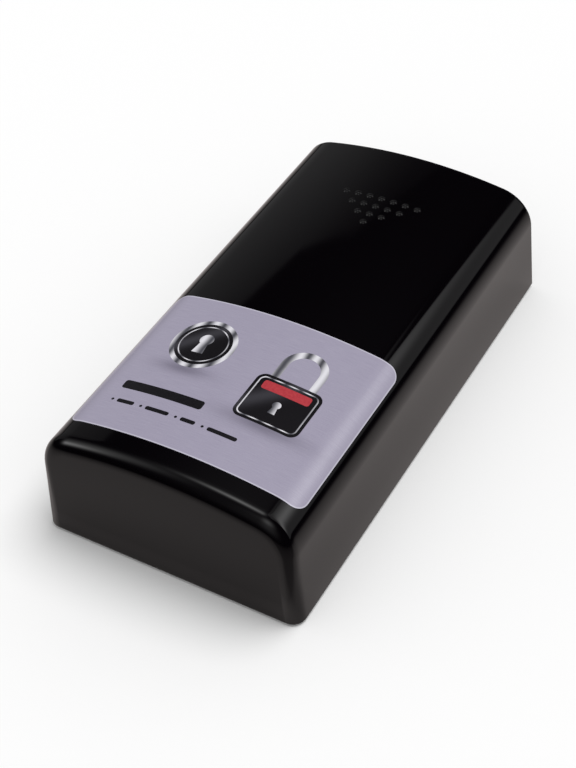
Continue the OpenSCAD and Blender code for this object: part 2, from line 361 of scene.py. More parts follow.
def new_material(name, colour, roughness, metallic=0.0):
    """A material with one Principled shader, its node tree, and that shader."""
    material = bpy.data.materials.new(name)
    material.use_nodes = True
    shader = material.node_tree.nodes["Principled BSDF"]
    shader.inputs["Base Color"].default_value = (*colour, 1)
    shader.inputs["Roughness"].default_value = roughness
    shader.inputs["Metallic"].default_value = metallic
    return material, material.node_tree, shader


def object_mm(tree, stretch=(1, 1, 1)):
    """Object coordinates in millimetres, stretched where a grain runs one way."""
    coordinates = add_node(tree, "ShaderNodeTexCoord")
    scale = [s / MM for s in stretch]
    return add_node(tree, "ShaderNodeMapping", {"Vector": coordinates.outputs["Object"],
                                                "Scale": scale}).outputs["Vector"]


table_paint, tree, shader = new_material("table_paint", TABLE_PALE, roughness=1.0)
shader.inputs["Specular IOR Level"].default_value = 0.0
place = object_mm(tree)
distance = add_node(tree, "ShaderNodeVectorMath", {0: place}, operation="LENGTH")
# Painted pool of light: the reflected grey is brightest by the box and fades with distance
fade = maths(tree, "EXPONENT", times(tree, distance.outputs["Value"], -1 / FADE_MM))
light_pool = plus(tree, times(tree, fade, FADE_GAIN * TABLE_LIGHT_POOL), TABLE_FAR_GREY)
light_pool = maths(tree, "MINIMUM", light_pool, TABLE_LIGHT_POOL)
spot = add_node(tree, "ShaderNodeSeparateXYZ", {"Vector": place})
across = spot.outputs["X"]
along = spot.outputs["Y"]
# Painted light and shade: ramps lift or lower the reflected grey beside the box and before its
# closed end
light_and_shade_beside = times(tree, remap(tree, maths(tree, "ABSOLUTE", across), *OUT_FROM_SIDE),
               remap(tree, along, *BACK_FROM_MIDDLE), remap(tree, along, *BACK_FROM_END))
before = maths(tree, "MAXIMUM", remap(tree, along, *CLOSE_BEFORE_END),
               remap(tree, along, *FAR_BEFORE_END))
before = times(tree, before, remap(tree, across, *RIGHT_BEFORE_END))
light_and_shade_near_box = add_node(tree, "ShaderNodeMix", {
    0: remap(tree, along, *IS_BEFORE_END), 2: light_and_shade_beside, 3: before}).outputs[0]
painted_table_light = times(tree, light_pool, light_and_shade_near_box)
print("nodes in the table's grey:", len(tree.nodes))

# %% [markdown]
# ## White above, clear below
# The camera's rays get white, and all others the warm grey of the painted light. The back of
# the table is clear, so that the box can be looked at from below, and so is all of it for
# diffuse rays, which brings the even light to the tray's underside.

# %% Finish the table
def blend_colours(tree, factor, *colours):
    """Mixes two colours, each a socket or three numbers. A mix node's colours come after
    its plain values and its vectors, so their sockets are 6 and 7, and the result is 2."""
    a, b = [(*c, 1) if isinstance(c, tuple) else c for c in colours]
    return add_node(tree, "ShaderNodeMix", {0: factor, 6: a, 7: b}, data_type="RGBA").outputs[2]


table_ray = add_node(tree, "ShaderNodeLightPath")
warm_painted_light = add_node(tree, "ShaderNodeVectorMath", {0: TABLE_WARMTH, "Scale": painted_table_light},
                     operation="SCALE").outputs["Vector"]
table_colour = blend_colours(tree, table_ray.outputs["Is Camera Ray"], warm_painted_light, WHITE)
tree.links.new(table_colour, shader.inputs["Base Color"])
back_face = add_node(tree, "ShaderNodeNewGeometry").outputs["Backfacing"]
see_through = maths(tree, "MAXIMUM", back_face, table_ray.outputs["Is Diffuse Ray"])
clear = add_node(tree, "ShaderNodeBsdfTransparent").outputs["BSDF"]
both = add_node(tree, "ShaderNodeMixShader", {
    0: see_through, 1: shader.outputs["BSDF"], 2: clear})
tree.links.new(both.outputs["Shader"], tree.nodes["Material Output"].inputs["Surface"])
table_mesh.materials.append(table_paint)
print("table's material:", table_paint.name)

# %% [markdown]
# ## The cover's outline
# Seen from its end, the cover is a drafted wall, a corner arc of 9 mm and a very flat crown of
# 123 mm. The corner's centre isn't given: it lies 9 mm in from the wall, and the corner arc
# must touch the crown from inside. It could be nudged by eye, but solving it once lets every
# later piece, such as the label, lie exactly on the same curve.

# %% Solve the outline
LENGTH = 114 * MM
HALF_WIDTH = 30.8 * MM
HEIGHT = 28 * MM
CROWN_R = 123 * MM
CORNER_R = 9 * MM
SIDE_DRAFT = math.radians(3.2)
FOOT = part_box("cover")[0].z

near_y = -LENGTH / 2
mouth_y = LENGTH / 2
crown_centre = Vector((0, 0, FOOT + HEIGHT - CROWN_R))
wall_normal = Vector((math.cos(SIDE_DRAFT), 0, math.sin(SIDE_DRAFT)))
wall_rise = Vector((-math.sin(SIDE_DRAFT), 0, math.cos(SIDE_DRAFT)))
start = Vector((HALF_WIDTH, 0, FOOT)) - CORNER_R * wall_normal - crown_centre
climb = -start.dot(wall_rise)
climb += math.sqrt(start.dot(wall_rise) ** 2 - start.dot(start) + (CROWN_R - CORNER_R) ** 2)
corner_centre = crown_centre + start + climb * wall_rise
crown_from = math.atan2(corner_centre.z - crown_centre.z, corner_centre.x)
CROWN_HALF_ARC = CROWN_R * (math.pi / 2 - crown_from)
print("corner centre in mm:", [round(v / MM, 2) for v in corner_centre])
print("half of the crown's arc in mm:", round(CROWN_HALF_ARC / MM, 2))

# %% [markdown]
# ## Drawing the outline
# The real cover is one injection moulding, so it is drawn as one skin. Half of its outline
# starts at the foot, climbs the wall, and is spun round its two centres. A mirror makes the
# other half, so both are exactly alike. The extra point just below the bend keeps the flat
# wall flat in the reflections.

# %% Draw the outline
CORNER_STEPS = 32
CROWN_STEPS = 24
GUARD = 0.6 * MM
WELD = 0.001 * MM


def verts_of(geometry):
    return [g for g in geometry if isinstance(g, bmesh.types.BMVert)]


def spin(bm, geometry, centre, axis, angle, steps):
    """Sweeps points or edges round an axis, and returns the last points."""
    swept = bmesh.ops.spin(bm, geom=geometry, cent=centre, axis=axis, angle=angle, steps=steps,
                           use_merge=angle == 2 * math.pi, use_duplicate=False)
    return verts_of(swept["geom_last"])


shell = bmesh.new()
last = shell.verts.new((HALF_WIDTH, mouth_y, FOOT))
wall_top = corner_centre + CORNER_R * wall_normal
for target in (wall_top - GUARD * wall_rise, wall_top):
    last = bmesh.ops.extrude_vert_indiv(shell, verts=[last])["verts"][0]
    last.co = (target.x, mouth_y, target.z)
bends = [
    (corner_centre, crown_from - SIDE_DRAFT, CORNER_STEPS),
    (crown_centre, math.pi / 2 - crown_from, CROWN_STEPS),
]
for centre, angle, steps in bends:
    last = spin(shell, [last], (centre.x, mouth_y, centre.z), (0, -1, 0), angle, steps)[0]
bmesh.ops.mirror(shell, geom=shell.verts[:] + shell.edges[:], axis="X", merge_dist=WELD)
bmesh.ops.remove_doubles(shell, verts=shell.verts, dist=WELD)
print("outline points:", len(shell.verts))

# %% [markdown]
# ## Pulling it along the box
# The outline is extruded from the mouth to the closed end in a few rings. The last two lean
# back by the draft that lets the moulding leave its mould, and a flat face caps the end. The
# other rings keep the long faces flat in the reflections.

# %% Pull the outline along the box
RIM_R = 3 * MM
END_DRAFT = math.radians(4.3)
MIDDLE_RING = 20 * MM

# Each ring: its place along the box, and 1 where it leans with the end wall
RINGS = [
    (mouth_y - GUARD, 0),
    (MIDDLE_RING, 0),
    (-MIDDLE_RING, 0),
    (near_y + RIM_R + GUARD, 1),
    (near_y, 1),
]

lean = math.tan(END_DRAFT)
ring = list(shell.edges)
for y, leaning in RINGS:
    grown = bmesh.ops.extrude_edge_only(shell, edges=ring)["geom"]
    ring = [g for g in grown if isinstance(g, bmesh.types.BMEdge)]
    for vert in verts_of(grown):
        vert.co.y = y + leaning * lean * (vert.co.z - FOOT)
feet = [v for e in ring for v in e.verts if v.co.z < FOOT + WELD]
foot_edge = bmesh.ops.contextual_create(shell, geom=feet)["edges"][0]
cap = bmesh.ops.contextual_create(shell, geom=ring + [foot_edge])["faces"][0]
rim = [e for e in cap.edges if e != foot_edge]
bmesh.ops.recalc_face_normals(shell, faces=shell.faces)
print("edges round the rim:", len(rim))

# %% [markdown]
# ## Rounding the rim
# A bevel of 3 mm rounds the rim of the closed end, which the photograph shows as a bright
# line. Twelve segments keep that line smooth. The end wall then gets an inset, which keeps
# its flat part flat.

# %% Round the rim
RIM_SEGMENTS = 12
END_FACING = -0.9


def soften(bm, geometry, width, segments=2, affect="EDGES"):
    """Rounds a solid's edges, or the corners of a flat face, by width."""
    bmesh.ops.bevel(bm, geom=list(geometry), offset=width, offset_type="OFFSET",
                    segments=segments, profile=0.5, affect=affect, material=-1,
                    clamp_overlap=False)


soften(shell, rim, RIM_R, RIM_SEGMENTS)
cap = max((f for f in shell.faces if f.normal.y < END_FACING), key=lambda f: f.calc_area())
bmesh.ops.inset_individual(shell, faces=[cap], thickness=GUARD, use_even_offset=True)
bmesh.ops.recalc_face_normals(shell, faces=shell.faces)
print("outer skin:", len(shell.faces), "faces")

# %% [markdown]
# ## Giving the skin its wall
# Solidify gives the skin the moulding's even wall of 2 mm. On drafted walls it leaves the
# foot's inner line a little lower than the outer one, so the foot is set level again. A small
# bevel then breaks the sharp edges, which catch the light on a real moulding.

# %% Give the shell its wall
WALL = 2 * MM
FOOT_BAND = 0.3 * MM
EDGE_SOFT = 0.2 * MM
SHARP_DEGREES = 50


def sharp_edges(bm, degrees=SHARP_DEGREES):
    return [e for e in bm.edges
            if len(e.link_faces) == 2 and e.calc_face_angle(0) > math.radians(degrees)]


bmesh.ops.solidify(shell, geom=shell.faces[:], thickness=WALL)
for vert in shell.verts:
    if vert.co.z < FOOT + FOOT_BAND:
        vert.co.z = FOOT
soften(shell, sharp_edges(shell), EDGE_SOFT)
for vert in shell.verts:
    vert.co.z = max(vert.co.z, FOOT)
print("shell's width in mm:", round(2 * max(v.co.x for v in shell.verts) / MM, 3))

# %% [markdown]
# ## Lips and guide ribs
# Two lips along the cover's foot reach in under the tray's runners, and three guide ribs on
# each wall hold the runners down. Each is a short outline extruded along the box. They are
# sunk a little way into the wall rather than cut into it, which keeps the mesh simple and
# looks the same.

# %% Add the lips and guide ribs
BITE = 0.8 * MM
LIP_WIDTH = 2.4 * MM
LIP_THICK = 1.4 * MM
GUIDE_Z = FOOT + 3.4 * MM
GUIDE_THICK = 1.2 * MM
GUIDE_SLOPE = 0.4 * MM
GUIDE_WIDTH = 2 * MM
GUIDE_LENGTH = 14 * MM
GUIDE_PLACES = (-40 * MM, -6 * MM, 28 * MM)
PLUG_THICK = 2.4 * MM
SLIP = 0.3 * MM
RAIL_SOFT = 0.15 * MM
CLEAR_OF_WALL = 0.01 * MM


def wall_x(z, inset=0.0):
    """Half width of the cover at height z, set in by inset."""
    return HALF_WIDTH - (z - FOOT) * math.tan(SIDE_DRAFT) - inset / math.cos(SIDE_DRAFT)


def prism(bm, outline, offset):
    """Draws a closed outline, extrudes it by offset and returns its vertices."""
    corners = [bm.verts.new(p) for p in outline]
    face = bmesh.ops.contextual_create(bm, geom=corners)["faces"][0]
    grown = bmesh.ops.extrude_face_region(bm, geom=[face], use_keep_orig=True)["geom"]
    far_corners = verts_of(grown)
    bmesh.ops.translate(bm, vec=offset, verts=far_corners)
    faces = {f for v in corners + far_corners for f in v.link_faces}
    bmesh.ops.recalc_face_normals(bm, faces=list(faces))
    return corners + far_corners


def rail(side, outline, y0, y1):
    """Adds a rail on one side, and rounds its edges that stand inside the wall."""
    verts = prism(shell, [(side * x, y0, z) for x, z in outline], (0, y1 - y0, 0))
    edges = {e for v in verts for e in v.link_edges}
    inner = [e for e in edges
             if all(abs(v.co.x) < wall_x(v.co.z, WALL) - CLEAR_OF_WALL for v in e.verts)]
    soften(shell, inner, RAIL_SOFT)


def rail_outline(foot, width, thick, slope=0.0):
    """A rail's outline: flat below, sloped above, and sunk into the wall outside."""
    x = wall_x(foot, WALL) - width
    top = foot + thick
    return [(x, foot), (wall_x(foot, WALL - BITE), foot),
            (wall_x(top, WALL - BITE), top + slope), (x, top)]


lip_outline = rail_outline(FOOT, LIP_WIDTH, LIP_THICK)
guide_outline = rail_outline(GUIDE_Z, GUIDE_WIDTH, GUIDE_THICK, GUIDE_SLOPE)
for side in (-1, 1):
    rail(side, lip_outline, near_y + WALL - BITE, mouth_y - PLUG_THICK - SLIP)
    for y in GUIDE_PLACES:
        rail(side, guide_outline, y, y + GUIDE_LENGTH)
print("lip edge at x =", round(lip_outline[0][0] / MM, 2), "mm")

# %% [markdown]
# ## One grip pip
# The pips that a thumb pushes against are low domes. One is made first: an arc is spun from
# its top down to its foot, and a full spin of that arc makes the dome. Its foot is sunk
# slightly below the surface, so that no gap shows, and then closed.

# %% Make one pip
PIP_RADIUS = 0.85 * MM
PIP_HEIGHT = 0.4 * MM
PIP_SINK = 0.06 * MM
ARC_STEPS = 6
PIP_STEPS = 28

dome_r = (PIP_RADIUS ** 2 + PIP_HEIGHT ** 2) / (2 * PIP_HEIGHT)
dome_angle = math.asin(PIP_RADIUS / dome_r)
dome = bmesh.new()
top = dome.verts.new((0, 0, PIP_HEIGHT))
foot = spin(dome, [top], (0, 0, PIP_HEIGHT - dome_r), (0, 1, 0), dome_angle, ARC_STEPS)
skirt = bmesh.ops.extrude_vert_indiv(dome, verts=foot)["verts"][0]
skirt.co = (PIP_RADIUS + PIP_SINK, 0, -PIP_SINK)
spin(dome, dome.verts[:] + dome.edges[:], (0, 0, 0), (0, 0, 1), 2 * math.pi, PIP_STEPS)
bmesh.ops.remove_doubles(dome, verts=dome.verts, dist=WELD)
bmesh.ops.holes_fill(dome, edges=[e for e in dome.edges if e.is_boundary], sides=0)
dome_mesh = bpy.data.meshes.new("grip_pip")
dome.to_mesh(dome_mesh)
dome.free()
print("faces on a pip:", len(dome_mesh.polygons))

# %% [markdown]
# ## The arrow of pips
# Sixteen copies of the pip stand on the top in rows of 7, 5, 3 and 1, an arrow that shows
# which way the cover slides. Each copy is tilted to the crown where it stands. An array
# modifier would leave them all upright.

# %% Set out the pips
PIP_PITCH = 3.03 * MM
PIP_ROWS = 4
PIP_SETBACK = 17.5 * MM


def crown_point(arc, lift=0.0):
    """The outline's point at this arc length from its middle, lift above the surface."""
    beyond = abs(arc) - CROWN_HALF_ARC
    if beyond <= 0:
        angle = math.pi / 2 - arc / CROWN_R
        return crown_centre + (CROWN_R + lift) * Vector((math.cos(angle), 0, math.sin(angle)))
    angle = crown_from - beyond / CORNER_R
    point = corner_centre + (CORNER_R + lift) * Vector((math.cos(angle), 0, math.sin(angle)))
    point.x = math.copysign(point.x, arc)
    return point


for row in range(PIP_ROWS):
    pips_each_side = PIP_ROWS - 1 - row
    for column in range(-pips_each_side, pips_each_side + 1):
        tilt = math.asin(column * PIP_PITCH / CROWN_R)
        stand = crown_point(tilt * CROWN_R)
        stand.y = mouth_y - PIP_SETBACK - row * PIP_PITCH
        pip = dome_mesh.copy()
        pip.transform(Matrix.Translation(stand) @ Matrix.Rotation(tilt, 4, "Y"))
        shell.from_mesh(pip)
        bpy.data.meshes.remove(pip)
bpy.data.meshes.remove(dome_mesh)
print("shell and pips:", len(shell.faces), "faces, edges without two faces:",
      sum(len(e.link_faces) != 2 for e in shell.edges))

# %% [markdown]
# ## Gloss black moulding
# Polished black plastic is a near black base under a clear reflection, so its roughness is
# low. A moulding is never a mirror, though: the top has a slow waviness of a few microns, and
# a fine haze makes the roughness vary a little. Both are noise in object coordinates, in
# millimetres, so that they have their real size.

# %% Finish the cover
GLOSS_BLACK = (0.0012, 0.0007, 0.0014)
SMOOTH_BELOW = math.radians(32)


def noise(tree, vector, per_mm, detail=2.0):
    return add_node(tree, "ShaderNodeTexNoise", {
        "Vector": vector, "Scale": per_mm, "Detail": detail}).outputs["Fac"]


def bump(tree, shader, relief, depth_mm, strength):
    node = add_node(tree, "ShaderNodeBump", {
        "Height": relief, "Distance": depth_mm * MM, "Strength": strength})
    tree.links.new(node.outputs["Normal"], shader.inputs["Normal"])


def vary_roughness(tree, shader, pattern, low, high, from_low=0.3, from_high=0.7):
    roughness = remap(tree, pattern, low, high, from_low, from_high)
    tree.links.new(roughness, shader.inputs["Roughness"])


def finished_piece(bm, name, material, body, replaced=None):
    """Cleans and shades a bmesh, and makes it a piece that rides on a body."""
    bmesh.ops.remove_doubles(bm, verts=bm.verts, dist=WELD)
    bmesh.ops.recalc_face_normals(bm, faces=bm.faces)
    for face in bm.faces:
        face.smooth = True
    for edge in bm.edges:
        edge.smooth = len(edge.link_faces) == 2 and edge.calc_face_angle(0) < SMOOTH_BELOW
    mesh = bpy.data.meshes.new(name)
    bm.to_mesh(mesh)
    bm.free()
    mesh.materials.append(material)
    piece = add_object(name, mesh)
    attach(piece, body)
    if replaced:
        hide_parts(replaced)
    print(name, "has", len(mesh.polygons), "faces")
    return piece


gloss_black, tree, shader = new_material("gloss_black_moulding", GLOSS_BLACK, roughness=0.05)
place = object_mm(tree)
haze = noise(tree, place, per_mm=0.12, detail=3.0)
waviness = noise(tree, place, per_mm=0.05, detail=1.0)
vary_roughness(tree, shader, haze, low=0.04, high=0.07)
bump(tree, shader, waviness, depth_mm=0.02, strength=0.25)
finished_piece(shell, "cover_shell", gloss_black, "cover", "cover")

# %% [markdown]
# ## The label, drawn flat
# The label is a film die cut to a rounded rectangle and pressed round the crown. It could be
# shrinkwrapped on to the cover, but that slides points sideways. So it is drawn flat first: a
# face whose corners are bevelled, cut into strips by planes so that it can bend, and extruded
# to its thickness.

# %% Draw the flat label
LABEL_SHIFT = 0.6 * MM
LABEL_EDGE_X = 27.5 * MM
LABEL_TRIM = 0.5 * MM
LABEL_HALF = CROWN_HALF_ARC - LABEL_TRIM + CORNER_R * (
    crown_from - math.acos((LABEL_EDGE_X - corner_centre.x) / CORNER_R))
LABEL_LENGTH = 42.15 * MM
LABEL_CORNER = 3 * MM
LABEL_CORNER_STEPS = 12
FILM = 0.1 * MM
FILM_SINK = 0.03 * MM
STRIP = 1.5 * MM
STRIPS_EACH_SIDE = 14
BEND_STRIP = 0.35 * MM
CUT_WELD = 1e-7


def rounded_outline(bm, u0, u1, v0, v1, corner, segments=8):
    """A flat rectangle from u0 to u1 and from v0 to v1, with rounded corners."""
    verts = [bm.verts.new(p) for p in ((u0, v0, 0), (u1, v0, 0), (u1, v1, 0), (u0, v1, 0))]
    face = bmesh.ops.contextual_create(bm, geom=verts)["faces"][0]
    if corner:
        soften(bm, face.verts, corner, segments, "VERTICES")


def cut_strips(bm):
    """Cuts a flat sheet along the box, finely where the corner bends it."""
    cuts = [i * STRIP for i in range(-STRIPS_EACH_SIDE, STRIPS_EACH_SIDE + 1)]
    bend = CROWN_HALF_ARC
    while bend < LABEL_HALF + LABEL_SHIFT:
        cuts += [bend, -bend]
        bend += BEND_STRIP
    for cut in cuts:
        bmesh.ops.bisect_plane(bm, geom=bm.verts[:] + bm.edges[:] + bm.faces[:], dist=CUT_WELD,
                               plane_co=(cut, 0, 0), plane_no=(1, 0, 0))


def thicken(bm, low, high):
    """Makes flat faces into a closed sheet from height low to height high."""
    bmesh.ops.translate(bm, vec=(0, 0, low), verts=bm.verts)
    grown = bmesh.ops.extrude_face_region(bm, geom=bm.faces[:], use_keep_orig=True)["geom"]
    bmesh.ops.translate(bm, vec=(0, 0, high - low), verts=verts_of(grown))
    bmesh.ops.recalc_face_normals(bm, faces=bm.faces)


film = bmesh.new()
rounded_outline(film, LABEL_SHIFT - LABEL_HALF, LABEL_SHIFT + LABEL_HALF, 0, LABEL_LENGTH,
                LABEL_CORNER, LABEL_CORNER_STEPS)
cut_strips(film)
thicken(film, -FILM_SINK, FILM)
print("flat label in mm:", round(2 * LABEL_HALF / MM, 1), "by", round(LABEL_LENGTH / MM, 1))

# %% [markdown]
# ## Rolling it on
# Each point of the flat sheet is moved on to the cover's outline by arc length, so that
# nothing stretches. Its UV map keeps its flat place in millimetres, for the brushed grain and
# the painted highlight along the cut edge.

# %% Roll the label on
LABEL_NEAR = near_y + 9.1 * MM


def roll_on(bm):
    """Keeps each point's flat place in mm as its UV, and moves it on to the cover."""
    uv = bm.loops.layers.uv.new("flat_mm")
    for face in bm.faces:
        for loop in face.loops:
            loop[uv].uv = (loop.vert.co.x / MM, loop.vert.co.y / MM)
    for vert in bm.verts:
        place = crown_point(vert.co.x, vert.co.z)
        vert.co = (place.x, LABEL_NEAR + vert.co.y, place.z)


roll_on(film)
print("label's lower edge at z =", round(min(v.co.z for v in film.verts) / MM, 2), "mm")

# %% [markdown]
# ## Brushed silver film
# The film is printed with a brushed silver that looks lilac. Long noise across the box makes
# the brush strokes, and a finer noise breaks them up. It is a print under a clear coat, so
# the shader is a coloured plastic with a strong reflection, and not a metal.

# %% Brush the film
SILVER_LILAC = (0.348, 0.322, 0.426)
SILVER_PALE = (0.415, 0.389, 0.493)
FILM_SPECULAR = 0.95
BRUSH_STRETCH = (0.25, 7.0, 1.0)
STROKES_SHARE = 0.7
FINE_SHARE = 0.3


def flat_place(tree):
    """The flat place that roll_on kept, as a vector and as its two parts, in mm."""
    flat = add_node(tree, "ShaderNodeUVMap", uv_map="flat_mm").outputs["UV"]
    parts = add_node(tree, "ShaderNodeSeparateXYZ", {"Vector": flat})
    return flat, parts.outputs["X"], parts.outputs["Y"]


film_finish, tree, shader = new_material("brushed_silver_film", SILVER_LILAC, roughness=0.16)
shader.inputs["Specular IOR Level"].default_value = FILM_SPECULAR
flat, flat_u, flat_v = flat_place(tree)
brushed = add_node(tree, "ShaderNodeMapping", {
    "Vector": flat, "Scale": BRUSH_STRETCH}).outputs["Vector"]
strokes = noise(tree, brushed, per_mm=1.0, detail=4.0)
fine = noise(tree, flat, per_mm=3.0)
grain = plus(tree, times(tree, strokes, STROKES_SHARE), times(tree, fine, FINE_SHARE))
silver = blend_colours(tree, remap(tree, grain, 0.0, 1.0, 0.3, 0.7), SILVER_LILAC, SILVER_PALE)
vary_roughness(tree, shader, grain, low=0.12, high=0.2, from_low=0.0, from_high=1.0)
bump(tree, shader, strokes, depth_mm=0.01, strength=0.3)
print("nodes in the brushed grain:", len(tree.nodes))

# %% [markdown]
# ## Printed shadows and the painted edge highlight
# The picture on the film is printed with soft shadows under its two motifs: each is a bell
# curve across times a bell curve along. A pale line is painted along the film's edge as a
# highlight of the cut edge catching the light, drawn where the distance to the rounded outline
# is least. That distance is a formula: the two distances into the corner's square, joined by
# Pythagoras.

# %% Finish the film
SHADOW_LILAC = (0.1, 0.09, 0.13)
SHADOW_DEPTH = 0.6
EDGE_HIGHLIGHT = (0.6, 0.58, 0.68)
HIGHLIGHT_LINE_FROM = 2.65
HIGHLIGHT_LINE_FULL = 2.85

# Each shadow: its middle across and along, then its radius across and along, in mm
PRINT_SHADOWS = [
    (11.6, 13.4, 9.0, 2.0),
    (-11.6, 20.6, 6.0, 1.7),
]


def into_corner(tree, place, middle, half):
    """How far a place is into the rounded corner's square, in mm, along one direction."""
    from_edge = minus(tree, half, maths(tree, "ABSOLUTE", minus(tree, place, middle)))
    return maths(tree, "MAXIMUM", minus(tree, LABEL_CORNER / MM, from_edge), 0.0)


shade = 0.0
for u, v, u_radius, v_radius in PRINT_SHADOWS:
    shade = plus(tree, shade, times(tree, bell(tree, flat_u, u, u_radius),
                                    bell(tree, flat_v, v, v_radius)))
shaded = blend_colours(tree, times(tree, shade, SHADOW_DEPTH), silver, SHADOW_LILAC)
corner_u = into_corner(tree, flat_u, LABEL_SHIFT / MM, LABEL_HALF / MM)
corner_v = into_corner(tree, flat_v, LABEL_LENGTH / MM / 2, LABEL_LENGTH / MM / 2)
from_centre = maths(tree, "SQRT", plus(tree, maths(tree, "POWER", corner_u, 2.0),
                                       maths(tree, "POWER", corner_v, 2.0)))
# Painted highlight: a pale line along the film's cut edge, where the edge catches the light
painted_edge_highlight = remap(tree, from_centre, 0.0, 1.0, HIGHLIGHT_LINE_FROM, HIGHLIGHT_LINE_FULL)
tree.links.new(blend_colours(tree, painted_edge_highlight, shaded, EDGE_HIGHLIGHT), shader.inputs["Base Color"])
finished_piece(film, "label_film", film_finish, "cover", "label")

# %% [markdown]
# ## The printing inks
# The print has four inks: a plain black for the bar and the dashes, a black with two soft
# lights across it, a red, and a pictured steel whose grey runs in waves. All are soft-edged
# blends of two shades. Ink on a clear film is a little rougher than the film, and flat.

# %% Mix the inks
INK_BLACK = (0.005, 0.004, 0.006)
INK_BLACK_WORN = (0.011, 0.01, 0.013)
INK_BLACK_LIT = (0.05, 0.048, 0.058)
INK_RED = (0.42, 0.03, 0.045)
INK_RED_WORN = (0.5, 0.05, 0.06)
INK_STEEL = (0.36, 0.36, 0.4)
STEEL_DARK = (0.07, 0.07, 0.085)
STEEL_LIGHT = (0.78, 0.77, 0.82)

# Each slanting light: where it crosses, as across minus along, and its radius, in mm
SLANTING_LIGHTS = [(-13.0, 2.6), (-43.5, 2.2)]
LIGHT_STRENGTH = 0.8


def mottle(tree, shader, pattern, colour_a, colour_b, from_low=0.3, from_high=0.7):
    """Blends the base colour between two shades, over this range of a pattern."""
    share = remap(tree, pattern, 0.0, 1.0, from_low, from_high)
    tree.links.new(blend_colours(tree, share, colour_a, colour_b), shader.inputs["Base Color"])


ink_black, tree, shader = new_material("ink_black", INK_BLACK, roughness=0.3)
mottle(tree, shader, noise(tree, object_mm(tree), per_mm=3.0), INK_BLACK, INK_BLACK_WORN)

ink_sheen, tree, shader = new_material("ink_black_picture", INK_BLACK, roughness=0.3)
flat, flat_u, flat_v = flat_place(tree)
slant = minus(tree, flat_u, flat_v)
lights = plus(tree, *[bell(tree, slant, place, radius) for place, radius in SLANTING_LIGHTS])
mottle(tree, shader, times(tree, lights, LIGHT_STRENGTH), INK_BLACK, INK_BLACK_LIT, 0.0, 1.0)

ink_red, tree, shader = new_material("ink_red", INK_RED, roughness=0.32)
mottle(tree, shader, noise(tree, object_mm(tree), per_mm=2.0), INK_RED, INK_RED_WORN)

ink_steel, tree, shader = new_material("ink_steel_picture", INK_STEEL, roughness=0.34)
flat, flat_u, flat_v = flat_place(tree)
waves = add_node(tree, "ShaderNodeTexWave", {
    "Vector": flat, "Scale": 0.09, "Distortion": 2.0, "Detail": 2.0}).outputs["Fac"]
mottle(tree, shader, waves, STEEL_DARK, STEEL_LIGHT, 0.0, 1.0)
print("inks:", [ink.name for ink in (ink_black, ink_sheen, ink_red, ink_steel)])

# %% [markdown]
# ## Printing a motif
# Ink is thin, and an image texture would be the usual way to print. Here each motif is drawn
# flat as its own outline instead, which stays crisp at any distance. It becomes a sheet just
# above the film, and is rolled on as the film was.

# %% Helpers that draw and print
INK_SINK = 0.01 * MM
INK_STEP = 0.012 * MM
FEW_STEPS = 4


def motif(name, material, layer, draw, *sizes):
    """Prints one piece, which draw makes from these sizes, in mm on the flat label."""
    bm = bmesh.new()
    draw(bm, *sizes)
    bmesh.ops.scale(bm, vec=(MM, MM, MM), verts=bm.verts)
    cut_strips(bm)
    thicken(bm, FILM - INK_SINK, FILM + layer * INK_STEP)
    roll_on(bm)
    finished_piece(bm, name, material, "cover")


def disc(bm, u, v, radius, steps=32):
    bmesh.ops.create_circle(bm, cap_ends=True, segments=steps, radius=radius,
                            matrix=Matrix.Translation((u, v, 0)))


def ring_band(bm, u, v, outer, inner, turn=360.0, steps=48):
    """A band between two radii, swept by a spin that starts on the right."""
    ends = [bm.verts.new((u + inner, v, 0)), bm.verts.new((u + outer, v, 0))]
    edge = bmesh.ops.contextual_create(bm, geom=ends)["edges"][0]
    spin(bm, ends + [edge], (u, v, 0), (0, 0, 1), math.radians(turn), steps)


def frame_line(bm, u0, u1, v0, v1, corner, width):
    """A rounded outline with its middle cut away."""
    rounded_outline(bm, u0, u1, v0, v1, corner)
    middle = bm.faces[:]
    bmesh.ops.inset_individual(bm, faces=middle, thickness=width, use_even_offset=True)
    bmesh.ops.delete(bm, geom=middle, context="FACES_ONLY")


def keyhole(bm, u, v, size):
    """A disc of this size over a foot that widens downwards."""
    disc(bm, u, v, 0.5 * size)
    neck = 0.28 * size
    foot = 0.42 * size
    neck_v = v - 0.3 * size
    foot_v = v - 1.3 * size
    lower = [bm.verts.new(p) for p in (
        (u - neck, neck_v, 0), (u - foot, foot_v, 0), (u + foot, foot_v, 0), (u + neck, neck_v, 0))]
    bmesh.ops.contextual_create(bm, geom=lower)


print("ink stands up to", round(2 * INK_STEP / MM, 3), "mm above the film")

# %% [markdown]
# ## The padlock
# The right motif is a padlock: a black body with a steel line inside its edge, a red band, a
# steel shackle and a keyhole. What lies on the body is printed as a second layer, a few
# microns higher, so that the two never share a plane.

# %% Print the padlock
LOCK_U = 11.5
SHACKLE_V = 30.6
SHACKLE_OUTER = 5.2
SHACKLE_INNER = 3.5
BODY_TOP = 26.4

# Each box: left, right, bottom, top and its corners' radius
BODY = (4.0, 19.0, 13.6, BODY_TOP, 2.0)
BODY_LINE = (4.7, 18.3, 14.3, 25.7, 1.4)
BODY_LINE_WIDTH = 0.28
RED_BAND = (6.0, 17.0, 22.4, 24.8, 0.6)

# Each keyhole: its place across and along, and its size
LOCK_KEYHOLE = (LOCK_U, 19.6, 1.9)


def shackle(bm):
    ring_band(bm, LOCK_U, SHACKLE_V, SHACKLE_OUTER, SHACKLE_INNER, turn=180, steps=32)
    for left, right in ((-SHACKLE_OUTER, -SHACKLE_INNER), (SHACKLE_INNER, SHACKLE_OUTER)):
        rounded_outline(bm, LOCK_U + left, LOCK_U + right, BODY_TOP, SHACKLE_V, 0)


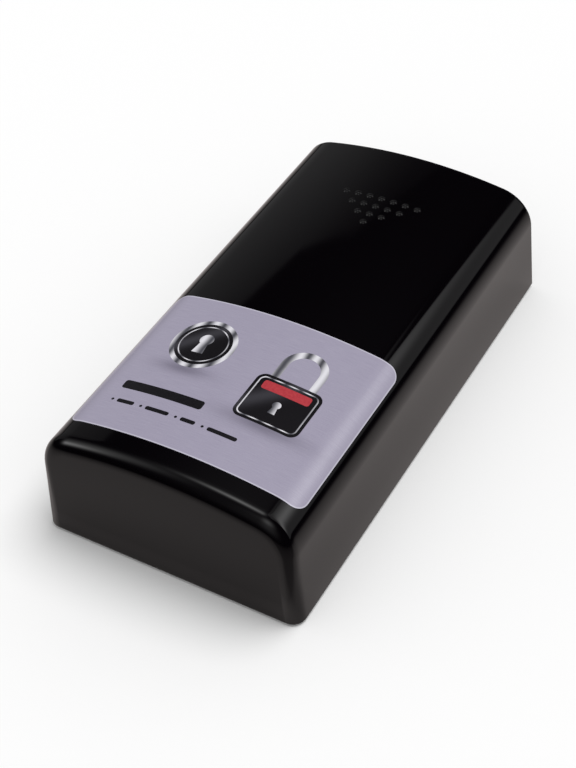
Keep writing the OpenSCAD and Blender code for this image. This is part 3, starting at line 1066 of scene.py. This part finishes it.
motif("print_padlock_body", ink_sheen, 1, rounded_outline, *BODY)
motif("print_padlock_edge", ink_steel, 2, frame_line, *BODY_LINE, BODY_LINE_WIDTH)
motif("print_padlock_band", ink_red, 2, rounded_outline, *RED_BAND, FEW_STEPS)
motif("print_padlock_shackle", ink_steel, 1, shackle)
motif("print_padlock_keyhole", ink_steel, 2, keyhole, *LOCK_KEYHOLE)

# %% [markdown]
# ## The keyhole plate
# The left motif is a round keyhole plate: a steel ring, a black face with a fine steel groove,
# and a keyhole. The ring and the groove are bands, and not discs laid one on another.

# %% Print the keyhole plate
PLATE_AT = (-11.5, 28.6)
PLATE_RING = (7.4, 6.3)
PLATE_FACE = 6.3
PLATE_STEPS = 56
GROOVE = (5.5, 5.25)
PLATE_KEYHOLE = (-11.5, 30.0, 3.2)

motif("print_plate_ring", ink_steel, 1, ring_band, *PLATE_AT, *PLATE_RING)
motif("print_plate_face", ink_sheen, 1, disc, *PLATE_AT, PLATE_FACE, PLATE_STEPS)
motif("print_plate_groove", ink_steel, 2, ring_band, *PLATE_AT, *GROOVE)
motif("print_plate_keyhole", ink_steel, 2, keyhole, *PLATE_KEYHOLE)

# %% [markdown]
# ## The bar and the dashes
# A plain bar and a row of dots and dashes complete the print, as generic shapes. The row is
# one piece, because it is printed in one pass.

# %% Print the bar and the dashes
ROW_START = -21.0
TITLE_BAR = (ROW_START, -1.5, 11.4, 13.8, 0.6)
DOT_IN = 0.45
DOT_RADIUS = 0.32
DASH_IN = 1.6
DASH_LOW = 7.3
DASH_HIGH = 8.3
DASH_CORNER = 0.4
DASH_WIDTHS = (4.2, 5.6, 3.4, 6.8)
DASH_GAP = 2.9


def dash_row(bm):
    u = ROW_START
    for width in DASH_WIDTHS:
        disc(bm, u + DOT_IN, (DASH_LOW + DASH_HIGH) / 2, DOT_RADIUS, steps=16)
        rounded_outline(bm, u + DASH_IN, u + DASH_IN + width, DASH_LOW, DASH_HIGH,
                        DASH_CORNER, FEW_STEPS)
        u += width + DASH_GAP


motif("print_title_bar", ink_black, 1, rounded_outline, *TITLE_BAR, FEW_STEPS)
motif("print_dashes", ink_black, 1, dash_row)

# %% [markdown]
# ## Softened copies of the CAD pieces
# The tray, the magnets and the rest already have their right shapes, but a CAD solid has
# knife edges. They could be modelled again, which would risk a misfit. Instead each is copied,
# its triangles are merged into flat faces, and a small bevel breaks the sharp edges between
# faces that are wide enough for it. Weighted normals then keep the large faces flat in the
# light.

# %% A helper that copies and softens
COPY_WELD = 0.002 * MM
FLAT_WITHIN = math.radians(0.6)
BEVEL_SHARP_DEGREES = 35
WIDE_ENOUGH = 2.5


def softened_copy(node, name, material, width):
    """A copy of a CAD node, with its sharp edges rounded by width, as a piece on the tray."""
    bm = bmesh.new()
    bm.from_mesh(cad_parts[node].data)
    bmesh.ops.remove_doubles(bm, verts=bm.verts, dist=COPY_WELD)
    bmesh.ops.dissolve_limit(bm, angle_limit=FLAT_WITHIN, verts=bm.verts, edges=bm.edges,
                             use_dissolve_boundaries=False)
    wide = {f for f in bm.faces
            if f.calc_area() > WIDE_ENOUGH * width * max(e.calc_length() for e in f.edges)}
    sharp = sharp_edges(bm, BEVEL_SHARP_DEGREES)
    soften(bm, [e for e in sharp if wide.issuperset(e.link_faces)], width)
    piece = finished_piece(bm, name, material, "tray", node)
    even = piece.modifiers.new("even_shading", "WEIGHTED_NORMAL")
    even.keep_sharp = True
    return piece


print("faces count as flat within", round(math.degrees(FLAT_WITHIN), 1), "degrees")

# %% [markdown]
# ## The tray's matt plastic
# The tray is moulded polypropylene, a little greyer than the cover. Its mould is spark eroded,
# which leaves a fine grain that kills the shine. The grain is bump only: at a few hundredths
# of a millimetre it is too fine to be worth any geometry.

# %% Finish the tray
TRAY_BLACK = (0.04, 0.04, 0.044)
TRAY_DARKER = (0.034, 0.034, 0.037)
TRAY_LIGHTER = (0.047, 0.047, 0.051)
TRAY_SOFT = 0.08 * MM

matt_black, tree, shader = new_material("matt_black_moulding", TRAY_BLACK, roughness=0.5)
place = object_mm(tree)
patches = noise(tree, place, per_mm=0.15, detail=3.0)
mottle(tree, shader, patches, TRAY_DARKER, TRAY_LIGHTER)
vary_roughness(tree, shader, patches, low=0.42, high=0.58)
bump(tree, shader, noise(tree, place, per_mm=4.0), depth_mm=0.02, strength=0.35)
softened_copy("tray", "tray_moulding", matt_black, TRAY_SOFT)

# %% [markdown]
# ## Ground ferrite
# Hard ferrite is a fired powder, as brittle as a tile and dull dark grey. Its faces are ground
# flat, so fine lines run along them. Stretched noise makes the lines, and even noise the grit.

# %% Mix the ferrite
FERRITE_GREY = (0.11, 0.11, 0.118)
FERRITE_DARKER = (0.085, 0.085, 0.092)
FERRITE_LIGHTER = (0.145, 0.145, 0.155)
GRINDING_STRETCH = (6.0, 0.25, 1.0)

ferrite, tree, shader = new_material("ground_ferrite", FERRITE_GREY, roughness=0.55)
grinding = noise(tree, object_mm(tree, GRINDING_STRETCH), per_mm=1.0, detail=3.0)
grit = noise(tree, object_mm(tree), per_mm=5.0)
mottle(tree, shader, grinding, FERRITE_DARKER, FERRITE_LIGHTER)
vary_roughness(tree, shader, grit, low=0.45, high=0.65)
bump(tree, shader, plus(tree, grinding, grit), depth_mm=0.02, strength=0.3)
print("mixed", ferrite.name)

# %% [markdown]
# ## Bright zinc and drawn brass
# The backing plates are steel with a bright zinc plate, which blooms in soft cloudy patches.
# The tubular rivets are drawn brass, with faint lines along their length. Both are true
# metals, so the metallic input is 1 and the colour is that of the reflection.

# %% Mix the zinc and the brass
ZINC = (0.68, 0.7, 0.72)
ZINC_CLOUDED = (0.58, 0.6, 0.64)
ZINC_BRIGHT = (0.74, 0.76, 0.78)
BRASS = (0.75, 0.62, 0.36)
BRASS_DARKER = (0.68, 0.54, 0.29)
BRASS_LIGHTER = (0.8, 0.68, 0.42)
DRAWING_STRETCH = (1.0, 1.0, 6.0)

zinc, tree, shader = new_material("bright_zinc", ZINC, roughness=0.28, metallic=1.0)
bloom = noise(tree, object_mm(tree), per_mm=0.5, detail=4.0)
mottle(tree, shader, bloom, ZINC_CLOUDED, ZINC_BRIGHT, from_low=0.35, from_high=0.65)
vary_roughness(tree, shader, bloom, low=0.22, high=0.4)

brass, tree, shader = new_material("drawn_brass", BRASS, roughness=0.42, metallic=1.0)
drawing = noise(tree, object_mm(tree, DRAWING_STRETCH), per_mm=1.5, detail=3.0)
mottle(tree, shader, drawing, BRASS_DARKER, BRASS_LIGHTER)
vary_roughness(tree, shader, drawing, low=0.34, high=0.5)
print("mixed", zinc.name, "and", brass.name)

# %% [markdown]
# ## Magnets, plates and rivets
# There are two sets of the same three pieces, one at each end of the tray, so a loop makes
# them. The ferrite gets the widest bevel, because its edges chip and are ground off.

# %% Make both sets
FERRITE_SOFT = 0.15 * MM
PLATE_SOFT = 0.08 * MM
RIVET_SOFT = 0.08 * MM

for end in ("near", "far"):
    softened_copy(f"magnet_{end}", f"ferrite_block_{end}", ferrite, FERRITE_SOFT)
    softened_copy(f"backing_plate_{end}", f"zinc_plate_{end}", zinc, PLATE_SOFT)
    softened_copy(f"rivet_{end}", f"brass_rivet_{end}", brass, RIVET_SOFT)

# %% [markdown]
# ## The foam pad
# The pad is closed-cell foam, die cut to lie round the magnet housings. It stands in the
# space of its CAD solid, with softly rounded edges. Voronoi cells colour it and dent its
# skin, since they pack together as the real bubbles do.

# %% Make the foam pad
FOAM_GREY = (0.1, 0.1, 0.108)
FOAM_DARKER = (0.06, 0.06, 0.065)
FOAM_LIGHTER = (0.14, 0.14, 0.15)
CELLS_PER_MM = 1.6
FOAM_SOFT = 0.5 * MM

foam, tree, shader = new_material("charcoal_foam", FOAM_GREY, roughness=0.9)
cells = add_node(tree, "ShaderNodeTexVoronoi", {
    "Vector": object_mm(tree), "Scale": CELLS_PER_MM}).outputs["Distance"]
mottle(tree, shader, cells, FOAM_DARKER, FOAM_LIGHTER, from_low=0.1, from_high=0.6)
bump(tree, shader, cells, depth_mm=0.15, strength=0.6)
foam_sheet = softened_copy("foam_pad", "foam_sheet", foam, FOAM_SOFT)
